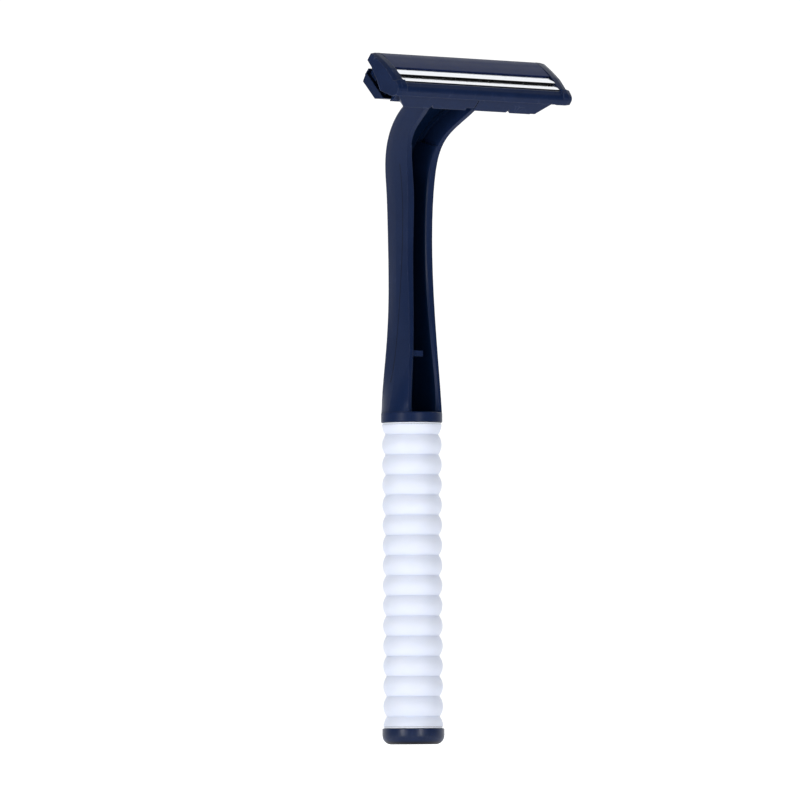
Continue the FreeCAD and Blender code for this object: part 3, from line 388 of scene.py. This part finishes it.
# The mould's parting line runs up both sides, from the collar to the bend, at y = start + slope (z
# - middle) + bow (z - middle)^2. It is painted as a dark line: painted shade standing for the shade
# of the crease there.
PARTING_MIDDLE, PARTING_START, PARTING_SLOPE, PARTING_BOW = 0.088, -1.03e-3, -0.052, 2.3
PARTING_LOW, PARTING_HIGH, PARTING_OUT, PARTING_WIDTH = 0.0655, 0.105, 0.0026, 0.11e-3
PARTING_CREASE_SHADE, PARTING_STRENGTH = (0.002, 0.004, 0.013, 1), 0.75
above = math_node(tree, "SUBTRACT", z, PARTING_MIDDLE)
line = math_node(tree, "MULTIPLY_ADD", above, PARTING_BOW, PARTING_SLOPE)
line = math_node(tree, "MULTIPLY_ADD", line, above, PARTING_START)
line = math_node(tree, "COMPARE", y, line, PARTING_WIDTH)
line = math_node(tree, "MULTIPLY", line, math_node(tree, "GREATER_THAN", sideways, PARTING_OUT))
line = math_node(tree, "MULTIPLY", line, math_node(
    tree, "COMPARE", z, (PARTING_LOW + PARTING_HIGH) / 2, (PARTING_HIGH - PARTING_LOW) / 2))

# Painted shade in the hollow: points nearer the middle than its sides are darkened to a shade tone,
# by how closed in they are.
HOLLOW_BEND, HOLLOW_TOP, HOLLOW_WAIST, HOLLOW_FOOT = 0.104, 0.1165, 0.084, 0.066
HOLLOW_NARROW, HOLLOW_WIDE, HOLLOW_FOOT_WIDE, HOLLOW_SOFT = 1.8e-3, 4.4e-3, 3.2e-3, 0.5e-3
HOLLOW_REACH, HOLLOW_SHUT, HOLLOW_OPEN, HOLLOW_STRENGTH = 0.014, 0.55, 0.95, 0.9
HOLLOW_SHADE_TONE = (0.0008, 0.0058, 0.022, 1)
top_side = ramp(tree, z, HOLLOW_BEND, HOLLOW_TOP, HOLLOW_NARROW, HOLLOW_WIDE)
foot_side = ramp(tree, z, HOLLOW_WAIST, HOLLOW_FOOT, HOLLOW_NARROW, HOLLOW_FOOT_WIDE)
past_side = math_node(tree, "SUBTRACT", sideways, math_node(tree, "MAXIMUM", top_side, foot_side))
within = ramp(tree, past_side, -HOLLOW_SOFT, HOLLOW_SOFT, 1.0, 0.0, smooth=True)
shelter = add_node(tree, "ShaderNodeAmbientOcclusion", {"Distance": HOLLOW_REACH}, samples=8)
closed_in = ramp(tree, shelter.outputs["AO"], HOLLOW_SHUT, HOLLOW_OPEN, HOLLOW_STRENGTH, 0.0)
plastic_base = shader.inputs["Base Color"].links[0].from_socket
shaded = blend_colours(tree, math_node(tree, "MULTIPLY", within, closed_in), plastic_base, HOLLOW_SHADE_TONE)
crease_shaded = blend_colours(tree, math_node(tree, "MULTIPLY", line, PARTING_STRENGTH), shaded,
                       PARTING_CREASE_SHADE)
tree.links.new(crease_shaded, shader.inputs["Base Color"])

# --- Cartridge platform
# Seat of the blades with the guard bar, the end walls and the rails behind. Moulded in the same
# navy plastic with a slightly glossier skin, and slid on to the cross bar.
# The platform's rubbed colour is bright enough to paint highlight lines along its edges, besides
# marking wear on edges and scratches.
NAVY_RUB_AND_HIGHLIGHT = (0.07, 0.09, 0.16)
navy_platform = plastic("navy_cartridge_plastic", NAVY, NAVY_RUB_AND_HIGHLIGHT, roughness=0.33, edge=2.6e-4,
                        wear_and_highlight_amount=1.0, grain_height=5e-6, cloud_size=350.0)
dress("cartridge_platform", navy_platform)

# --- Blades
# Two narrow strips of hardened stainless steel, ground and honed to a bevel along the edge. They
# lie one above the other, with a black plastic spacer between them, and the cap's studs hold them.
STEEL_DEEP, STEEL_BRIGHT = (0.82, 0.83, 0.85, 1), (0.95, 0.95, 0.96, 1)
STEEL_ROUGHNESS, STEEL_ROUGHNESS_SPREAD = 0.12, 0.12
BRUSH_STRETCH, BRUSH_SIZE = (1.0, 40.0, 40.0), 500.0
steel, tree, shader, place = new_material("honed_steel")
shader.inputs["Metallic"].default_value = 1.0
brush = add_node(tree, "ShaderNodeMapping", {"Vector": place, "Scale": BRUSH_STRETCH})
lines = add_node(tree, "ShaderNodeTexNoise", {
    "Vector": brush.outputs["Vector"], "Scale": BRUSH_SIZE, "Detail": 3.0})
tree.links.new(blend_colours(tree, lines.outputs["Fac"], STEEL_DEEP, STEEL_BRIGHT),
               shader.inputs["Base Color"])
tree.links.new(math_node(tree, "MULTIPLY_ADD", lines.outputs["Fac"], STEEL_ROUGHNESS_SPREAD,
                         STEEL_ROUGHNESS), shader.inputs["Roughness"])
dress("seat_blade", steel)
dress("cap_blade", steel)
# The worn black also paints a highlight along the edges.
BLACK, BLACK_WEAR_AND_HIGHLIGHT = (0.012, 0.012, 0.014), (0.05, 0.05, 0.055)
black_spacer = plastic("black_spacer_plastic", BLACK, BLACK_WEAR_AND_HIGHLIGHT, roughness=0.45, edge=5e-5,
                       wear_and_highlight_amount=0.3, grain_height=5e-6)
dress("blade_spacer", black_spacer)

# --- Cartridge cap
# Crowned cover over the blades, moulded in navy plastic, with four studs that go down through
# the blades and are staked into the platform.
NAVY_COVER = (0.0058, 0.0165, 0.078)
navy_cover = plastic("navy_cover_plastic", NAVY_COVER, NAVY_WEAR_AND_HIGHLIGHT, roughness=0.36, edge=8e-5,
                     wear_and_highlight_amount=0.5, grain_height=5e-6, cloud_size=420.0)
dress("cartridge_cap", navy_cover)

# --- Floor and studio
# A pale matt table, lit from under itself, that glows more for the camera than on the razor. White
# cloth hangs behind and the room in front is dark. Two soft lights stand either side of the camera,
# and a third hangs above.
FLOOR_HALF = 3.0
FLOOR_COLOUR, FLOOR_GLOW = (0.8, 0.8, 0.8, 1), (0.97, 0.98, 1.0, 1)
GLOW_ON_THE_RAZOR, GLOW_FOR_THE_CAMERA = 0.55, 1.05
floor_mesh = bpy.data.meshes.new("floor")
floor_mesh.from_pydata(
    [(-FLOOR_HALF, -FLOOR_HALF, 0), (FLOOR_HALF, -FLOOR_HALF, 0),
     (FLOOR_HALF, FLOOR_HALF, 0), (-FLOOR_HALF, FLOOR_HALF, 0)], [], [(0, 1, 2, 3)])
matt_table = bpy.data.materials.new("matt_table")
matt_table.use_nodes = True
tree = matt_table.node_tree
shader = tree.nodes["Principled BSDF"]
shader.inputs["Base Color"].default_value = FLOOR_COLOUR
shader.inputs["Roughness"].default_value = 0.9
shader.inputs["Specular IOR Level"].default_value = 0.0
shader.inputs["Emission Color"].default_value = FLOOR_GLOW
for_camera = tree.nodes.new("ShaderNodeLightPath").outputs["Is Camera Ray"]
tree.links.new(ramp(tree, for_camera, 0.0, 1.0, GLOW_ON_THE_RAZOR, GLOW_FOR_THE_CAMERA),
               shader.inputs["Emission Strength"])
floor_mesh.materials.append(matt_table)
floor = bpy.data.objects.new("floor", floor_mesh)
bpy.context.scene.collection.objects.link(floor)

# The camera's direction from the razor, level with the table, and the way to its right.
AZIMUTH = math.radians(-39.5)
toward = Vector((math.sin(AZIMUTH), -math.cos(AZIMUTH), 0.0))
aside = Vector((math.cos(AZIMUTH), math.sin(AZIMUTH), 0.0))

# The cloth starts at right angles to the view and is fully white further round; overhead it dims.
CLOTH, ROOM, WHITE = (0.96, 0.98, 1.0, 1), (0.035, 0.04, 0.05, 1), (1, 1, 1, 1)
CLOTH_STARTS, CLOTH_FULL = 0.0, 0.62
OVERHEAD_STARTS, OVERHEAD_FULL, OVERHEAD_SHARE = 0.75, 0.98, 0.3
STUDIO_STRENGTH = 1.08
world = bpy.data.worlds.new("studio")
bpy.context.scene.world = world
world.use_nodes = True
tree = world.node_tree
way = tree.nodes.new("ShaderNodeTexCoord").outputs["Generated"]
ahead = add_node(tree, "ShaderNodeVectorMath", {0: way, 1: tuple(-toward)},
                 operation="DOT_PRODUCT").outputs["Value"]
upward = add_node(tree, "ShaderNodeSeparateXYZ", {"Vector": way}).outputs["Z"]
behind = ramp(tree, ahead, CLOTH_STARTS, CLOTH_FULL, smooth=True)
low = ramp(tree, upward, OVERHEAD_STARTS, OVERHEAD_FULL, 1.0, OVERHEAD_SHARE, smooth=True)
lit = blend_colours(tree, math_node(tree, "MULTIPLY", behind, low), ROOM, CLOTH)
for_camera = tree.nodes.new("ShaderNodeLightPath").outputs["Is Camera Ray"]
tree.links.new(blend_colours(tree, for_camera, lit, WHITE),
               tree.nodes["Background"].inputs["Color"])
tree.nodes["Background"].inputs["Strength"].default_value = STUDIO_STRENGTH

LAMP_COLOUR, LAMPS_AIM = (1.0, 0.99, 0.98), Vector((0, 0, 0.06))
LIGHTS = {
    # name: (degrees round from the camera, height, distance, width, height of the lamp, power)
    "left_light": (-40, 0.10, 1.0, 0.20, 0.40, 4.2),
    "right_light": (27, 0.10, 1.1, 0.14, 0.34, 3.8),
    "top_light": (0, 1.0, 0.35, 0.60, 0.60, 2.4),
}
for name, (turn, height, distance, width, tall, power) in LIGHTS.items():
    lamp = bpy.data.lights.new(name, "AREA")
    lamp.shape = "RECTANGLE"
    lamp.size, lamp.size_y = width, tall
    lamp.energy, lamp.color = power, LAMP_COLOUR
    light = bpy.data.objects.new(name, lamp)
    direction = Quaternion((0, 0, 1), math.radians(turn)) @ toward
    light.location = direction * distance + Vector((0, 0, height))
    light.rotation_mode = "QUATERNION"
    light.rotation_quaternion = (LAMPS_AIM - light.location).to_track_quat("-Z", "Y")
    bpy.context.scene.collection.objects.link(light)

# --- Camera
# A long lens close to the table, turned to the razor's left and front, and rolled a little.
LENS, DISTANCE, NEAREST, FURTHEST = 373.0, 1.5, 0.1, 20.0
ROLL = math.radians(0.31)
CENTRE_HEIGHT, EYE_HEIGHT, AIM_SIDE = 0.06235, 0.0022, -0.0021
aim = Vector((0, 0, CENTRE_HEIGHT)) + aside * AIM_SIDE
eye = aim + toward * DISTANCE + Vector((0, 0, EYE_HEIGHT - CENTRE_HEIGHT))
camera_data = bpy.data.cameras.new("camera")
camera_data.lens = LENS
camera_data.clip_start, camera_data.clip_end = NEAREST, FURTHEST
camera = bpy.data.objects.new("camera", camera_data)
camera.location = eye
camera.rotation_mode = "QUATERNION"
camera.rotation_quaternion = (aim - eye).to_track_quat("-Z", "Y") @ Quaternion((0, 0, 1), -ROLL)
bpy.context.scene.collection.objects.link(camera)
bpy.context.scene.camera = camera
bpy.context.scene.view_settings.view_transform = "Standard"
